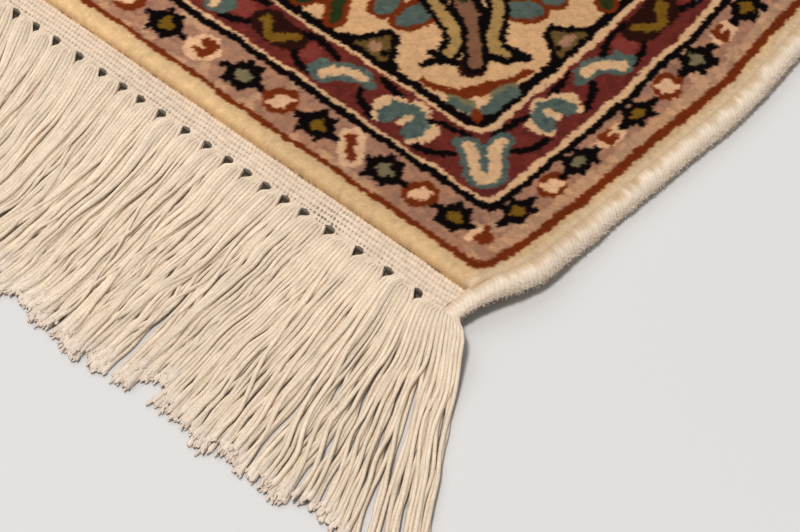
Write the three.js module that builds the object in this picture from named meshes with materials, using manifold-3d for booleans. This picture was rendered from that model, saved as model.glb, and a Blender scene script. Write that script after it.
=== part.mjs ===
// Small hand-knotted silk rug lying flat, with woven ends, overcast sides and a knotted warp fringe.
// Millimetres, +Z up. X runs across the rug, Y along its warps. The underside lies on Z = 0 and the
// origin is under the middle. The whole rug maps onto itself when it is turned half round about Z.

import * as THREE from 'three';
import Module from 'manifold-3d';
import { mergeVertices } from 'three/addons/utils/BufferGeometryUtils.js';

const wasm = await Module();
wasm.setup();

// Driving dimensions of the woven cloth
const RUG_WIDTH = 610;
const WOVEN_LENGTH = 914;
const FOUNDATION_THICKNESS = 2.0;
const RUG_THICKNESS = 5.5;
const KILIM_WIDTH = 6.8;
const PILE_ROUNDING = 0.9;
const PIECE_GAP = 0.35;
const HALF_WIDTH = RUG_WIDTH / 2;
const HALF_LENGTH = WOVEN_LENGTH / 2;

// The rust line of the border, which the other places are measured from
const LINE_FROM_SIDE = 8.6;
const LINE_FROM_END = 11.3;
const LINE_X = HALF_WIDTH - LINE_FROM_SIDE;

// The sides draw in towards the middle of the rug and at its corners, and wander a little
const BEND_DEPTH = 5.5;
const BEND_START = 70;
const BEND_END = 125;
const WAIST_DEPTH = 3.5;
const WAIST_START = 120;
const WAIST_END = 420;
const CORNER_PULL = 7;
const CORNER_REACH = 24;
const WANDER_DEPTH = 0.7;
const WANDER_LENGTH = 187;
const WANDER_START = 130;
const WANDER_END = 260;

// Overcast side cord
const CORD_WIDTH = 4.6;
const CORD_HEIGHT = 5.0;
const CORD_SIDES = 8;

// Knotted fringe
const FRINGE_LENGTH = 59;
const LENGTH_WAVES = [
  { depth: 1.6, turn: 0.31 },
  { depth: 1.1, turn: 0.83 },
];
const STRIP_WIDTH = 1.5;
const GAP_BETWEEN_KNOTS = 2.6;
const KNOT_LENGTH = 4.2;
const KNOT_HEIGHT = 2.8;
const KNOT_ROOT_SHARE = 0.8;
const LOCKS_PER_BUNDLE = 2;
const LOCKS_PER_CORNER_BUNDLE = 3;
const LOCK_HEIGHT = 2.2;
const LOCK_SHARE = 0.72;
const LOCK_ROOT_RISE = 0.3;
const LOCK_ROOT_FULLNESS = 0.75;
const LOCK_ROOT_SPREAD = 0.7;
const LOCK_TIP_HEIGHT = 0.8;
const LOCK_OPENED_BY = 0.5;
const LOCK_STEPS = 3;

// Gaps between the bundles nearest one corner, measured across the rug from its rust line
const NEAR_GAPS = [10, 19, 28, 37, 45, 51, 57, 63, 69, 76, 83, 91, 98, 104, 111, 119, 127, 134, 141];
const FAR_GAP = 583;
const FURTHER_BUNDLES = 54;
const OUTER_BUNDLE_EDGE = -3;

// How far the tips of the fringe drift towards that corner, and how early they do so
const DRIFT = [
  { from: -3, shift: 41, bow: 1.0 },
  { from: 2, shift: 38, bow: 1.0 },
  { from: 4, shift: 31, bow: 1.0 },
  { from: 10, shift: 20, bow: 1.0 },
  { from: 19, shift: 13, bow: 1.0 },
  { from: 28, shift: 9, bow: 1.0 },
  { from: 37, shift: 6, bow: 1.0 },
  { from: 60, shift: 6, bow: 1.1 },
  { from: 80, shift: 8, bow: 1.3 },
  { from: 107, shift: 12, bow: 2.0 },
  { from: 135, shift: 17, bow: 2.2 },
  { from: 200, shift: 14, bow: 1.8 },
  { from: 300, shift: 0, bow: 1.4 },
  { from: 400, shift: -6, bow: 1.4 },
  { from: 500, shift: -4, bow: 1.4 },
  { from: 575, shift: -10, bow: 1.0 },
  { from: 596, shift: -26, bow: 1.0 },
];

// Steps along the outlines
const SIDE_STEPS = 38;
const END_STEPS = 8;

const FINISHES = {
  pile: { color: 0xc79a72, roughness: 0.7, metalness: 0 },
  cord: { color: 0xe2d6bf, roughness: 0.8, metalness: 0 },
  cotton: { color: 0xe6d7c3, roughness: 0.9, metalness: 0 },
};

function smooth(low, high, value) {
  const u = THREE.MathUtils.clamp((value - low) / (high - low), 0, 1);
  return u * u * (3 - 2 * u);
}

// Distance from the middle line to the outside of the side cord, on the +X side
function outerEdge(y) {
  const fromEnd = HALF_LENGTH - Math.abs(y);
  const fromLine = fromEnd - LINE_FROM_END;
  const bend = BEND_DEPTH * smooth(BEND_START, BEND_END, fromLine);
  const waist = WAIST_DEPTH * smooth(WAIST_START, WAIST_END, fromLine);
  const corner = CORNER_PULL * (1 - smooth(0, CORNER_REACH, fromEnd));
  const wander = WANDER_DEPTH * Math.sin((2 * Math.PI * y) / WANDER_LENGTH);
  return HALF_WIDTH - bend - waist - corner + wander * smooth(WANDER_START, WANDER_END, fromEnd);
}

// The same distance on either side: the far side is the near one turned half round
function edgeAt(side, y) {
  return side * outerEdge(side * y);
}

function bodyEdgeAt(side, y) {
  return edgeAt(side, y) - side * (CORD_WIDTH + PIECE_GAP);
}

// A closed body through rings that all have the same number of points, with flat caps
function loft(rings, capTriangles) {
  const count = rings[0].length;
  const points = rings.flat();
  const faces = [];
  for (let r = 0; r + 1 < rings.length; r += 1) {
    for (let k = 0; k < count; k += 1) {
      const a = r * count + k;
      const b = r * count + ((k + 1) % count);
      faces.push(a, b, b + count, a, b + count, a + count);
    }
  }
  const last = (rings.length - 1) * count;
  for (const [a, b, c] of capTriangles) {
    faces.push(a, c, b);
    faces.push(last + a, last + b, last + c);
  }
  const geometry = new THREE.BufferGeometry();
  geometry.setAttribute('position', new THREE.Float32BufferAttribute(points.flatMap((p) => p.toArray()), 3));
  geometry.setIndex(faces);
  return geometry;
}

function fan(count) {
  return Array.from({ length: count - 2 }, (_, k) => [0, k + 1, k + 2]);
}

function toSolid(geometry) {
  const merged = mergeVertices(geometry, 1e-4);
  const mesh = new wasm.Mesh({
    numProp: 3,
    vertProperties: new Float32Array(merged.attributes.position.array),
    triVerts: new Uint32Array(merged.index.array),
  });
  return new wasm.Manifold(mesh);
}

function toGeometry(solid) {
  const mesh = solid.getMesh();
  const geometry = new THREE.BufferGeometry();
  geometry.setAttribute('position', new THREE.Float32BufferAttribute(mesh.vertProperties, 3));
  geometry.setIndex(Array.from(mesh.triVerts));
  return geometry;
}

function named(name, geometry, finish) {
  geometry.computeVertexNormals();
  const mesh = new THREE.Mesh(geometry, new THREE.MeshStandardMaterial(finish));
  mesh.name = name;
  return mesh;
}

// Outline of the cloth at one height, anticlockwise, drawn in at its ends and its sides
function clothOutline(z, endInset, sideInset) {
  const reach = HALF_LENGTH - endInset;
  const points = [];
  for (const side of [1, -1]) {
    for (let k = 0; k <= SIDE_STEPS; k += 1) {
      const y = side * reach * ((2 * k) / SIDE_STEPS - 1);
      points.push(new THREE.Vector3(bodyEdgeAt(side, y) - side * sideInset, y, z));
    }
    const from = points[points.length - 1].x;
    const to = bodyEdgeAt(-side, side * reach) + side * sideInset;
    for (let k = 1; k < END_STEPS; k += 1) {
      points.push(new THREE.Vector3(THREE.MathUtils.lerp(from, to, k / END_STEPS), side * reach, z));
    }
  }
  return points;
}

// Foundation and pile in one piece: the bare woven ends are the foundation alone
function rugBody() {
  const foundation = clothOutline(0, 0, 0);
  const rings = [
    foundation,
    clothOutline(FOUNDATION_THICKNESS, 0, 0),
    clothOutline(FOUNDATION_THICKNESS, KILIM_WIDTH, 0),
    clothOutline(RUG_THICKNESS - PILE_ROUNDING, KILIM_WIDTH, 0),
    clothOutline(RUG_THICKNESS, KILIM_WIDTH + PILE_ROUNDING, PILE_ROUNDING),
  ];
  const flat = foundation.map((p) => new THREE.Vector2(p.x, p.y));
  return named('rug_body', loft(rings, THREE.ShapeUtils.triangulateShape(flat, [])), FINISHES.pile);
}

// Overcast cord that lies along one side and follows its bends, with its flats up and down
function sideCord(name, side) {
  const rings = [];
  for (let k = 0; k <= SIDE_STEPS; k += 1) {
    const y = HALF_LENGTH * ((2 * k) / SIDE_STEPS - 1);
    const slope = (edgeAt(side, y + 0.5) - edgeAt(side, y - 0.5)) * side;
    const across = new THREE.Vector2(1, -slope).normalize();
    const end = k === 0 || k === SIDE_STEPS;
    const middle = Math.abs(edgeAt(side, y)) - CORD_WIDTH / 2;
    const ring = [];
    for (let j = 0; j < CORD_SIDES; j += 1) {
      const angle = (2 * Math.PI * (j + 0.5)) / CORD_SIDES;
      const out = (CORD_WIDTH / 2) * Math.cos(angle);
      const up = ((CORD_HEIGHT / 2) * Math.sin(angle)) / Math.cos(Math.PI / CORD_SIDES);
      const along = end ? 0 : out * across.y;
      const x = side * (middle + out * (end ? 1 : across.x));
      ring.push(new THREE.Vector3(x, y + along, CORD_HEIGHT / 2 + up));
    }
    rings.push(side > 0 ? ring.reverse() : ring);
  }
  return named(name, loft(rings, fan(CORD_SIDES)), FINISHES.cord);
}

// Row of the drift table that holds at a place across the rug
function driftAt(from) {
  const next = DRIFT.findIndex((row) => row.from >= from);
  if (next <= 0) return next === 0 ? DRIFT[0] : DRIFT[DRIFT.length - 1];
  const [a, b] = [DRIFT[next - 1], DRIFT[next]];
  const u = (from - a.from) / (b.from - a.from);
  return { shift: THREE.MathUtils.lerp(a.shift, b.shift, u), bow: THREE.MathUtils.lerp(a.bow, b.bow, u) };
}

function bundleEdges() {
  const edges = [OUTER_BUNDLE_EDGE, ...NEAR_GAPS];
  const start = edges[edges.length - 1];
  for (let k = 1; k <= FURTHER_BUNDLES; k += 1) {
    edges.push(THREE.MathUtils.lerp(start, FAR_GAP, k / FURTHER_BUNDLES));
  }
  edges.push(2 * LINE_X - OUTER_BUNDLE_EDGE);
  return edges;
}

// One closed three-sided lock through its sections: each has a middle, a half width, a foot and a height
function ridge(sections) {
  const rings = sections.map(({ x, y, half, foot, height }, k) => {
    const before = sections[Math.max(k - 1, 0)];
    const after = sections[Math.min(k + 1, sections.length - 1)];
    const way = new THREE.Vector2(after.x - before.x, after.y - before.y).normalize();
    const left = new THREE.Vector2(-way.y, way.x).multiplyScalar(half);
    return [
      new THREE.Vector3(x, y, height),
      new THREE.Vector3(x - left.x, y - left.y, foot),
      new THREE.Vector3(x + left.x, y + left.y, foot),
    ];
  });
  return toSolid(loft(rings, fan(rings[0].length)));
}

// One lock of a bundle: it leaves the knot, spreads from its neighbours and drifts sideways on the floor
function lock(middle, width, place, count) {
  const own = (place * width) / count;
  const from = LINE_X - middle - own;
  const { shift, bow } = driftAt(from);
  const rootY = -(HALF_LENGTH + PIECE_GAP + STRIP_WIDTH + KNOT_LENGTH / 2);
  const uneven = LENGTH_WAVES.reduce((sum, wave) => sum + wave.depth * Math.sin(from * wave.turn), 0);
  const tipY = -(HALF_LENGTH + FRINGE_LENGTH + uneven);
  const sections = [];
  for (let k = 0; k <= LOCK_STEPS; k += 1) {
    const u = k / LOCK_STEPS;
    const opened = smooth(0, LOCK_OPENED_BY, u);
    const spread = own * THREE.MathUtils.lerp(LOCK_ROOT_SPREAD, 1, opened);
    const drift = shift * (1 - (1 - u) ** bow);
    const fullness = THREE.MathUtils.lerp(LOCK_ROOT_FULLNESS, 1, opened);
    sections.push({
      x: middle + spread + drift,
      y: THREE.MathUtils.lerp(rootY, tipY, u),
      half: (fullness * LOCK_SHARE * width) / count / 2,
      foot: k === 0 ? LOCK_ROOT_RISE : 0,
      height: LOCK_HEIGHT * THREE.MathUtils.lerp(1, LOCK_TIP_HEIGHT, u),
    });
  }
  return ridge(sections);
}

// Narrow strip outside the woven end with a row of knots on it, like a comb with short teeth
function knotComb(edges) {
  const inner = -(HALF_LENGTH + PIECE_GAP);
  const outer = inner - STRIP_WIDTH;
  const reach = LINE_X - OUTER_BUNDLE_EDGE - GAP_BETWEEN_KNOTS / 2;
  const outline = [new THREE.Vector2(reach, inner), new THREE.Vector2(-reach, inner)];
  for (let k = edges.length - 2; k >= 0; k -= 1) {
    const middle = LINE_X - (edges[k] + edges[k + 1]) / 2;
    const half = (edges[k + 1] - edges[k] - GAP_BETWEEN_KNOTS) / 2;
    outline.push(new THREE.Vector2(middle - half * KNOT_ROOT_SHARE, outer));
    outline.push(new THREE.Vector2(middle - half, outer - KNOT_LENGTH));
    outline.push(new THREE.Vector2(middle + half, outer - KNOT_LENGTH));
    outline.push(new THREE.Vector2(middle + half * KNOT_ROOT_SHARE, outer));
  }
  const shape = new THREE.Shape(outline);
  const comb = new THREE.ExtrudeGeometry(shape, { depth: KNOT_HEIGHT, bevelEnabled: false });
  comb.deleteAttribute('normal');
  comb.deleteAttribute('uv');
  return toSolid(comb);
}

// Strip, knots and locks of one end, joined in pairs until one solid is left
function fringe(name, turned) {
  const edges = bundleEdges();
  let parts = [knotComb(edges)];
  for (let k = 0; k + 1 < edges.length; k += 1) {
    const width = edges[k + 1] - edges[k];
    const middle = LINE_X - (edges[k] + edges[k + 1]) / 2;
    const corner = k === 0 || k + 2 === edges.length;
    const count = corner ? LOCKS_PER_CORNER_BUNDLE : LOCKS_PER_BUNDLE;
    for (let n = 0; n < count; n += 1) {
      parts.push(lock(middle, width, n - (count - 1) / 2, count));
    }
  }
  while (parts.length > 1) {
    const joined = [];
    for (let k = 0; k < parts.length; k += 2) {
      joined.push(k + 1 < parts.length ? parts[k].add(parts[k + 1]) : parts[k]);
    }
    parts = joined;
  }
  const mesh = named(name, toGeometry(parts[0]), FINISHES.cotton);
  mesh.rotation.z = turned ? Math.PI : 0;
  return mesh;
}

const rug = new THREE.Group();
rug.name = 'silk_rug';
rug.add(rugBody());
rug.add(sideCord('selvedge_right', 1));
rug.add(sideCord('selvedge_left', -1));
rug.add(fringe('fringe_front', false));
rug.add(fringe('fringe_back', true));

export default rug;
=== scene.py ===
"""Looks of the small hand-knotted silk rug: pile with its woven pattern, bare woven ends, overcast
sides and a knotted fringe. Places are worked out in millimetres in the frame of the CAD model, with
the photographed corner at +X and -Y, and are turned into metres where a mesh is made."""
import math

import bpy
import numpy as np
from mathutils import Matrix, Vector


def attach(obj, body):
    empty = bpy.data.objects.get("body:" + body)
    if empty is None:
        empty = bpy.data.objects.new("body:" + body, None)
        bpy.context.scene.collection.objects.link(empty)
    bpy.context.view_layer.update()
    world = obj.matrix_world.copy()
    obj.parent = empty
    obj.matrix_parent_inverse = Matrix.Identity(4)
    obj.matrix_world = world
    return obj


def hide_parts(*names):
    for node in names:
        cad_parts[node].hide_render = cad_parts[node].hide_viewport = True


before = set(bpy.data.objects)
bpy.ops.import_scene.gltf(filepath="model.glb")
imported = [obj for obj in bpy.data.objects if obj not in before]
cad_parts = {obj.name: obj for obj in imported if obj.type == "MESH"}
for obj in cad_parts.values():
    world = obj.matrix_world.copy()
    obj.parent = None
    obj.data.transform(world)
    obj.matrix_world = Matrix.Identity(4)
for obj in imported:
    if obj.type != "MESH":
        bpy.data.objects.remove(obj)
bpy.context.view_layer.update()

MM = 0.001

# Woven cloth, as in the CAD model
HALF_WIDTH = 305
HALF_LENGTH = 457
FOUNDATION_TOP = 2.0
PILE_TOP = 5.5
KILIM_WIDTH = 6.8
PIECE_GAP = 0.35
LINE_FROM_SIDE = 8.6
LINE_FROM_END = 11.3
LINE_X = HALF_WIDTH - LINE_FROM_SIDE
LINE_Y = HALF_LENGTH - LINE_FROM_END
CORD_WIDTH = 4.6
CORD_TURN = 3.5
TUCKED = 0.7
FLOOR_GAP = 0.02

# Fringe, as in the CAD model
FRINGE_LENGTH = 59
NEAR_GAPS = [10, 19, 28, 37, 45, 51, 57, 63, 69, 76, 83, 91, 98, 104, 111, 119, 127, 134, 141]
FAR_GAP = 583
FURTHER_BUNDLES = 54
OUTER_BUNDLE_EDGE = -4.0
# Place of a root, sideways shift of its tip, and how early it leans
DRIFT = [
    (-3, 41, 1.0), (2, 38, 1.0), (4, 31, 1.0), (10, 20, 1.0), (19, 13, 1.0), (28, 9, 1.0),
    (37, 6, 1.0), (60, 6, 1.1), (80, 8, 1.3), (107, 12, 2.0), (135, 17, 2.2), (200, 14, 1.8),
    (300, 0, 1.4), (400, -6, 1.4), (500, -4, 1.4), (575, -10, 1.0), (596, -26, 1.0),
]

# Knots of the pile
KNOT = 1.41

# Colours of the yarns, as they look in daylight
YARNS = {
    "edging": (200, 167, 125),
    "rust": (107, 41, 13),
    "salmon": (180, 138, 106),
    "pink": (157, 114, 91),
    "black": (9, 3, 4),
    "cream": (207, 166, 125),
    "maroon": (99, 39, 32),
    "madder": (120, 52, 44),
    "ground": (202, 159, 116),
    "teal": (77, 90, 83),
    "olive": (113, 81, 22),
    "greygreen": (114, 104, 76),
    "tan": (159, 126, 76),
    "stem": (120, 82, 60),
    "brown": (39, 14, 8),
    "green": (35, 46, 19),
    "blush": (216, 171, 133),
    "moss": (97, 74, 38),
}
NAMES = list(YARNS)
COTTON = (222, 205, 184)
KILIM_COTTON = (240, 220, 199)
SIDE_SILK = (226, 209, 190)
FLOOR = (207, 207, 208)
PILE_SHADE = 0.8
KILIM_SHADE = 0.79
SIDE_SHADE = 1.0
GAMMA = 2.4


def smooth(low, high, value):
    u = np.clip((value - low) / (high - low), 0, 1)
    return u * u * (3 - 2 * u)


def linear(rgb):
    """Linear colour of a colour in daylight numbers, from 0 to 255."""
    c = np.asarray(rgb, float) / 255
    return np.where(c <= 0.04045, c / 12.92, ((c + 0.055) / 1.055) ** GAMMA)


def noise(x, y, size, seed):
    """Smooth noise from -1 to 1 with features of that size."""
    table = np.random.default_rng(seed).uniform(-1, 1, (256, 256))
    gx, gy = x / size, y / size
    ix, iy = np.floor(gx).astype(int), np.floor(gy).astype(int)
    fx, fy = gx - ix, gy - iy
    fx, fy = fx * fx * (3 - 2 * fx), fy * fy * (3 - 2 * fy)
    a, b = table[ix % 256, iy % 256], table[(ix + 1) % 256, iy % 256]
    c, d = table[ix % 256, (iy + 1) % 256], table[(ix + 1) % 256, (iy + 1) % 256]
    return (a * (1 - fx) + b * fx) * (1 - fy) + (c * (1 - fx) + d * fx) * fy


# Outline of the rug

def bends(y):
    """How far the side draws in at a place along the rug, its corners apart."""
    from_end = HALF_LENGTH - np.abs(y)
    from_line = from_end - LINE_FROM_END
    wander = 0.7 * np.sin(2 * np.pi * y / 187) * smooth(130, 260, from_end)
    return 5.5 * smooth(70, 125, from_line) + 3.5 * smooth(120, 420, from_line) - wander


def outer_edge(y):
    """Distance from the middle line to the outside of the side cord, on the +X side."""
    corner = 7 * (1 - smooth(0, 24, HALF_LENGTH - np.abs(y)))
    return HALF_WIDTH - bends(y) - corner


def body_edge(y):
    return outer_edge(y) - CORD_WIDTH - PIECE_GAP


# The chart: one quarter of the pattern, a yarn for each third of a knot

CELLS_IN_KNOT = 3
CELL = KNOT / CELLS_IN_KNOT
CHART_OFFSET = 24
CHART_LONG = 1008
CHART_WIDE = 690
GUARD_CENTRE = 7.3
BORDER_INNER = 96.0
FIELD_EDGE = BORDER_INNER + 19
FIRST_ROSETTE = 108
MEDALLION = (112, 190)


def segment_distance(s, d, points):
    """Distance to a line through the points."""
    best = np.full(s.shape, 1e9)
    for (s0, d0), (s1, d1) in zip(points, points[1:]):
        ls, ld = s1 - s0, d1 - d0
        t = np.clip(((s - s0) * ls + (d - d0) * ld) / (ls * ls + ld * ld), 0, 1)
        best = np.minimum(best, np.hypot(s - s0 - t * ls, d - d0 - t * ld))
    return best


class Chart:
    """Paints yarns on the knots. u counts inwards from the rust line of the end, and v from that of
    the side. The first line and column of the chart lie CHART_OFFSET cells outside those lines."""

    def __init__(self):
        u = (np.arange(CHART_LONG) - CHART_OFFSET) * CELL
        v = (np.arange(CHART_WIDE) - CHART_OFFSET) * CELL
        self.u, self.v = np.meshgrid(u, v, indexing="ij")
        self.yarn = np.zeros(self.u.shape, int)
        self.inside = np.ones(self.u.shape, bool)

    def fill(self, where, yarn):
        self.yarn[where & self.inside] = NAMES.index(yarn)

    def plane(self, side):
        """Coordinates along and across a band: those of the end band, or of the side band."""
        return (self.u, self.v) if side else (self.v, self.u)

    def oval(self, side, centre, radii, yarn, turn=0.0):
        s, d = self.plane(side)
        a = math.radians(turn)
        ds, dd = s - centre[0], d - centre[1]
        p, q = ds * math.cos(a) + dd * math.sin(a), dd * math.cos(a) - ds * math.sin(a)
        self.fill((p / radii[0]) ** 2 + (q / radii[1]) ** 2 < 1, yarn)

    def stroke(self, side, points, half, yarn):
        s, d = self.plane(side)
        self.fill(segment_distance(s, d, points) < half, yarn)

    def strokes(self, side, *lines):
        """Several strokes, each as half its width, its yarn and the points of its line."""
        for half, yarn, *points in lines:
            self.stroke(side, points, half, yarn)


def side_depth(v):
    """Depth in the end's bands of a place in the side's bands, which are a little narrower."""
    here = [-20, 0, 10.95, 13.05, 14.95, 28.2, 30.2, 32.9, 60, 500]
    there = [-20, 0, 13.1, 14.7, 15.75, 28.95, 29.95, 32.2, 60, 500]
    return np.interp(v, here, there)


def rounded_corner(u, v, k):
    """The smaller of the two depths, with the corner rounded by about k."""
    return -k * np.logaddexp(-u / k, -v / k)


def border_bands(chart):
    """Straight bands that follow the edge, with their corners a little rounded."""
    v = side_depth(chart.v)
    near = rounded_corner(chart.u, v, 0.9)
    far = rounded_corner(chart.u, v, 2.0)
    d = np.where(near < 20, near, far)
    bands = [
        (-99, "edging"), (0, "pink"), (13.1, "black"), (14.7, "cream"), (15.75, "maroon"),
        (28.95, "cream"), (29.95, "black"), (32.2, "ground"),
        (BORDER_INNER, "black"), (BORDER_INNER + 1.8, "cream"), (BORDER_INNER + 3.3, "maroon"),
        (BORDER_INNER + 15.5, "cream"), (BORDER_INNER + 17.2, "black"), (FIELD_EDGE, "maroon"),
    ]
    for start, yarn in bands:
        chart.fill(d >= start, yarn)
    patchy = noise(chart.u, chart.v, 4.0, 15)
    chart.fill((d > 0) & (d < 2.6) & (patchy > 0.15), "salmon")
    chart.fill((d > 2.6) & (d < 13.1) & (patchy > 0.62), "salmon")
    beside = (chart.v < chart.u) & (chart.u > 6)
    chart.fill(beside & (chart.v > 1.2) & (chart.v < 3.9 + 0.9 * patchy), "salmon")
    line = rounded_corner(chart.u, chart.v + 0.3, 2.2)
    chart.fill(line < 0.6, "rust")
    outer = rounded_corner(chart.u, chart.v + 0.8, 2.2)
    chart.fill(outer < -0.75, "edging")
    chart.fill(beside & (chart.v > 0) & (chart.v < 0.8), "rust")
    chart.band = d


def guard_flower(chart, side, s, yarn, size):
    """Black flower with pointed ends and ragged petals round a small centre."""
    d = GUARD_CENTRE + 0.1 if side else GUARD_CENTRE
    long, wide = size

    def at(a, b):
        return (s + a * long, d + b * wide)

    chart.oval(side, at(0.05, 0), (4.9 * long, 3.6 * wide), "black")
    for root, tip, half in (
        ((3.2, 0.1), (6.3, -0.3), 0.95), ((-3.2, 0), (-6.3, -0.2), 0.95), ((1.4, 2.2), (1.9, 3.7), 0.95),
        ((-1.3, 2.4), (-1.7, 3.6), 0.95), ((2.3, -2), (2.8, -3.6), 0.9), ((-2, -2.2), (-2.2, -3.2), 0.95),
    ):
        chart.stroke(side, [at(*root), at(*tip)], half, "black")
    chart.oval(side, at(-0.1, 0), (2.3 * long, 1.6 * wide), yarn)
    chart.oval(side, at(0.4, 0.1), (1.1 * long, 2.2 * wide), yarn)


def guard_ring(chart, side, s, size):
    """Uneven rust ring round a cream spot."""
    d = GUARD_CENTRE + 0.1 if side else GUARD_CENTRE
    long, wide = size
    ends = [(s - 1.6 * long, d + 1.9 * wide), (s + 1.7 * long, d - 1.9 * wide)]
    chart.oval(side, (s, d), (4.3 * long, 4.1 * wide), "rust", 20)
    chart.stroke(side, [(s + 3.0 * long, d - 1), (s + 4.7 * long, d - 0.4)], 0.8, "rust")
    chart.oval(side, (s, d), (2.3 * long, 2.3 * wide), "blush", 30)
    chart.stroke(side, ends, 0.8, "blush")


def guard_diamond(chart, side, s):
    """Slanted rust bar on a cream patch."""
    d = GUARD_CENTRE + 0.2
    ends = [(s + 2, d + 2.4), (s - 2, d - 2.4)]
    chart.strokes(side, (3, "blush", *ends), (1.15, "rust", *ends))


def guard_block(chart, side, s, size):
    """Ragged rust block on a cream patch."""
    d = GUARD_CENTRE + 0.4
    long, wide = size
    patch = 3.0 if side else 4.2
    chart.oval(side, (s + 0.6, d - 0.4), (4.7 * long, patch * wide), "blush")
    for half, a, b, c, e in (
        (1.15, -1.3 * long, 1.9, -1.2 * long, -2.2),
        (1.05, 1.3 * long, 1.7, -0.8, 1.7),
        (0.95, 1.4 * long, -1.2, -0.8, -1.3),
    ):
        chart.stroke(side, [(s + a, d + b * wide), (s + c, d + e * wide)], half * wide, "rust")


def guard_motifs(chart):
    """Flowers, rings and blocks in turn along the pink band, with a bar for some blocks of the end."""
    end_places = [16.7, 27, 38, 48.2, 58.6, 70.5, 83, 96, 108.7]
    side_places = [18, 28.7, 38.3, 48.3, 58.3, 69.2, 80.4, 91.3, 101.5]
    kinds = ["olive", "ring", "greygreen", "block"]
    chart.inside = (chart.band > 1.8) & (chart.band < 13.2)
    for side, places, pitch, middle in (
        (False, end_places, 12.51, LINE_X),
        (True, side_places, 11.06, LINE_Y),
    ):
        while places[-1] + pitch < middle + 1:
            places.append(places[-1] + pitch)
        size = (0.94, 0.76) if side else (1, 1)
        for n, place in enumerate(places):
            kind = kinds[n % 4]
            if kind == "ring":
                guard_ring(chart, side, place, size)
            elif kind == "block" and (side or n % 8 == 7):
                guard_block(chart, side, place, size)
            elif kind == "block":
                guard_diamond(chart, side, place)
            else:
                own = (size[0] * (0.9 if n == 0 else 1), size[1])
                guard_flower(chart, side, place, kind, own)
    chart.oval(False, (9.3, 6.2), (1.7, 2.6), "blush")
    chart.oval(False, (6.6, 7), (2.3, 2.1), "rust")
    chart.stroke(False, [(7.4, 8.2), (9, 10)], 0.8, "rust")
    chart.inside[:] = True


def repeats(side, first, step):
    """Places of an even repeat, about a step apart, from the first to the middle of a band."""
    middle = LINE_Y if side else LINE_X
    count = int((middle - first) / step)
    pitch = (middle - first) / count
    return [first + n * pitch for n in range(count + 1)], pitch


def placer(s, flip=1):
    """Places of a motif: a along the band from the motif's middle, d across the band."""
    def at(a, d):
        return (s + flip * a, d)
    return at


def hooked_arch(chart, side, s):
    """Teal arch on a cream edge, open towards the outside."""
    k = 0.88 if side else 1.0

    def at(a, d):
        return (s + a * k, 22.4 + (d - 22.4) * k)

    for a, d, long, wide in (
        (-7.2, 22, 1.7, 3.2), (7.4, 22.2, 1.8, 3.2), (0, 27.2, 2.9, 1.1), (-4.8, 25.4, 1.7, 1.2),
        (4.8, 25.4, 1.7, 1.2), (-5.4, 18.2, 1.7, 1.3), (5.5, 18.2, 1.7, 1.3),
    ):
        chart.oval(side, at(a, d), (long * k, wide * k), "cream")
    chart.strokes(
        side,
        (0.9, "cream", at(-6.4, 22.2), at(-4.4, 25), at(0, 26.2), at(4.4, 25), at(6.4, 22.2)),
        (2.35 * k, "teal", at(-3.9, 20), at(-3.6, 23), at(0, 24.6), at(3.6, 23), at(3.9, 20)),
        (1.1, "cream", at(-0.6, 23.2), at(0, 20.4)),
    )
    chart.oval(side, at(0, 17.6), (2.7, 1.5), "maroon")


def barred_oval(chart, side, s, flip):
    """Teal leaf with a slanted cream bar in it."""
    at = placer(s, flip)
    bar = [at(3.2, 19.3), at(1.6, 22.2), at(-2, 24.7), at(-4.2, 24.9)]
    chart.stroke(side, bar, 2.75, "teal")
    chart.oval(side, at(5.6, 20.4), (2.3, 3.2), "teal")
    chart.oval(side, at(-6.6, 24), (2.4, 1.5), "teal")
    chart.stroke(side, bar, 1.3, "cream")


def olive_hook(chart, side, s):
    """Olive hook on dark brown, between two lighter spots."""
    at = placer(s)
    for a in (-10.6, 11.4):
        chart.oval(side, at(a, 22.8), (2.6, 3), "madder")
    chart.oval(side, at(0, 23.4), (8.6, 5), "brown")
    chart.oval(side, at(-0.6, 27.9), (3.6, 1), "maroon")
    hook = [at(5, 24.4), at(2.8, 22.4), at(0.8, 20.4), at(-0.8, 20.2), at(-2.6, 22), at(-4.6, 24.6)]
    chart.strokes(side, (1.1, "black", at(-9, 27.6), at(-6, 27)), (1.2, "olive", *hook))
    chart.oval(side, at(4.4, 23.8), (2.1, 1.6), "olive")


def dashes(chart, side, s, flip):
    """Two black dashes in the gap between two motifs."""
    at = placer(s, flip)
    chart.strokes(
        side,
        (0.95, "black", at(-4.2, 17.5), at(-0.6, 18.1), at(2, 19.4), at(3.8, 21.4)),
        (0.9, "black", at(2.4, 27.8), at(-1.2, 27), at(-5.2, 26), at(-6.8, 25.4)),
    )


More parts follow.
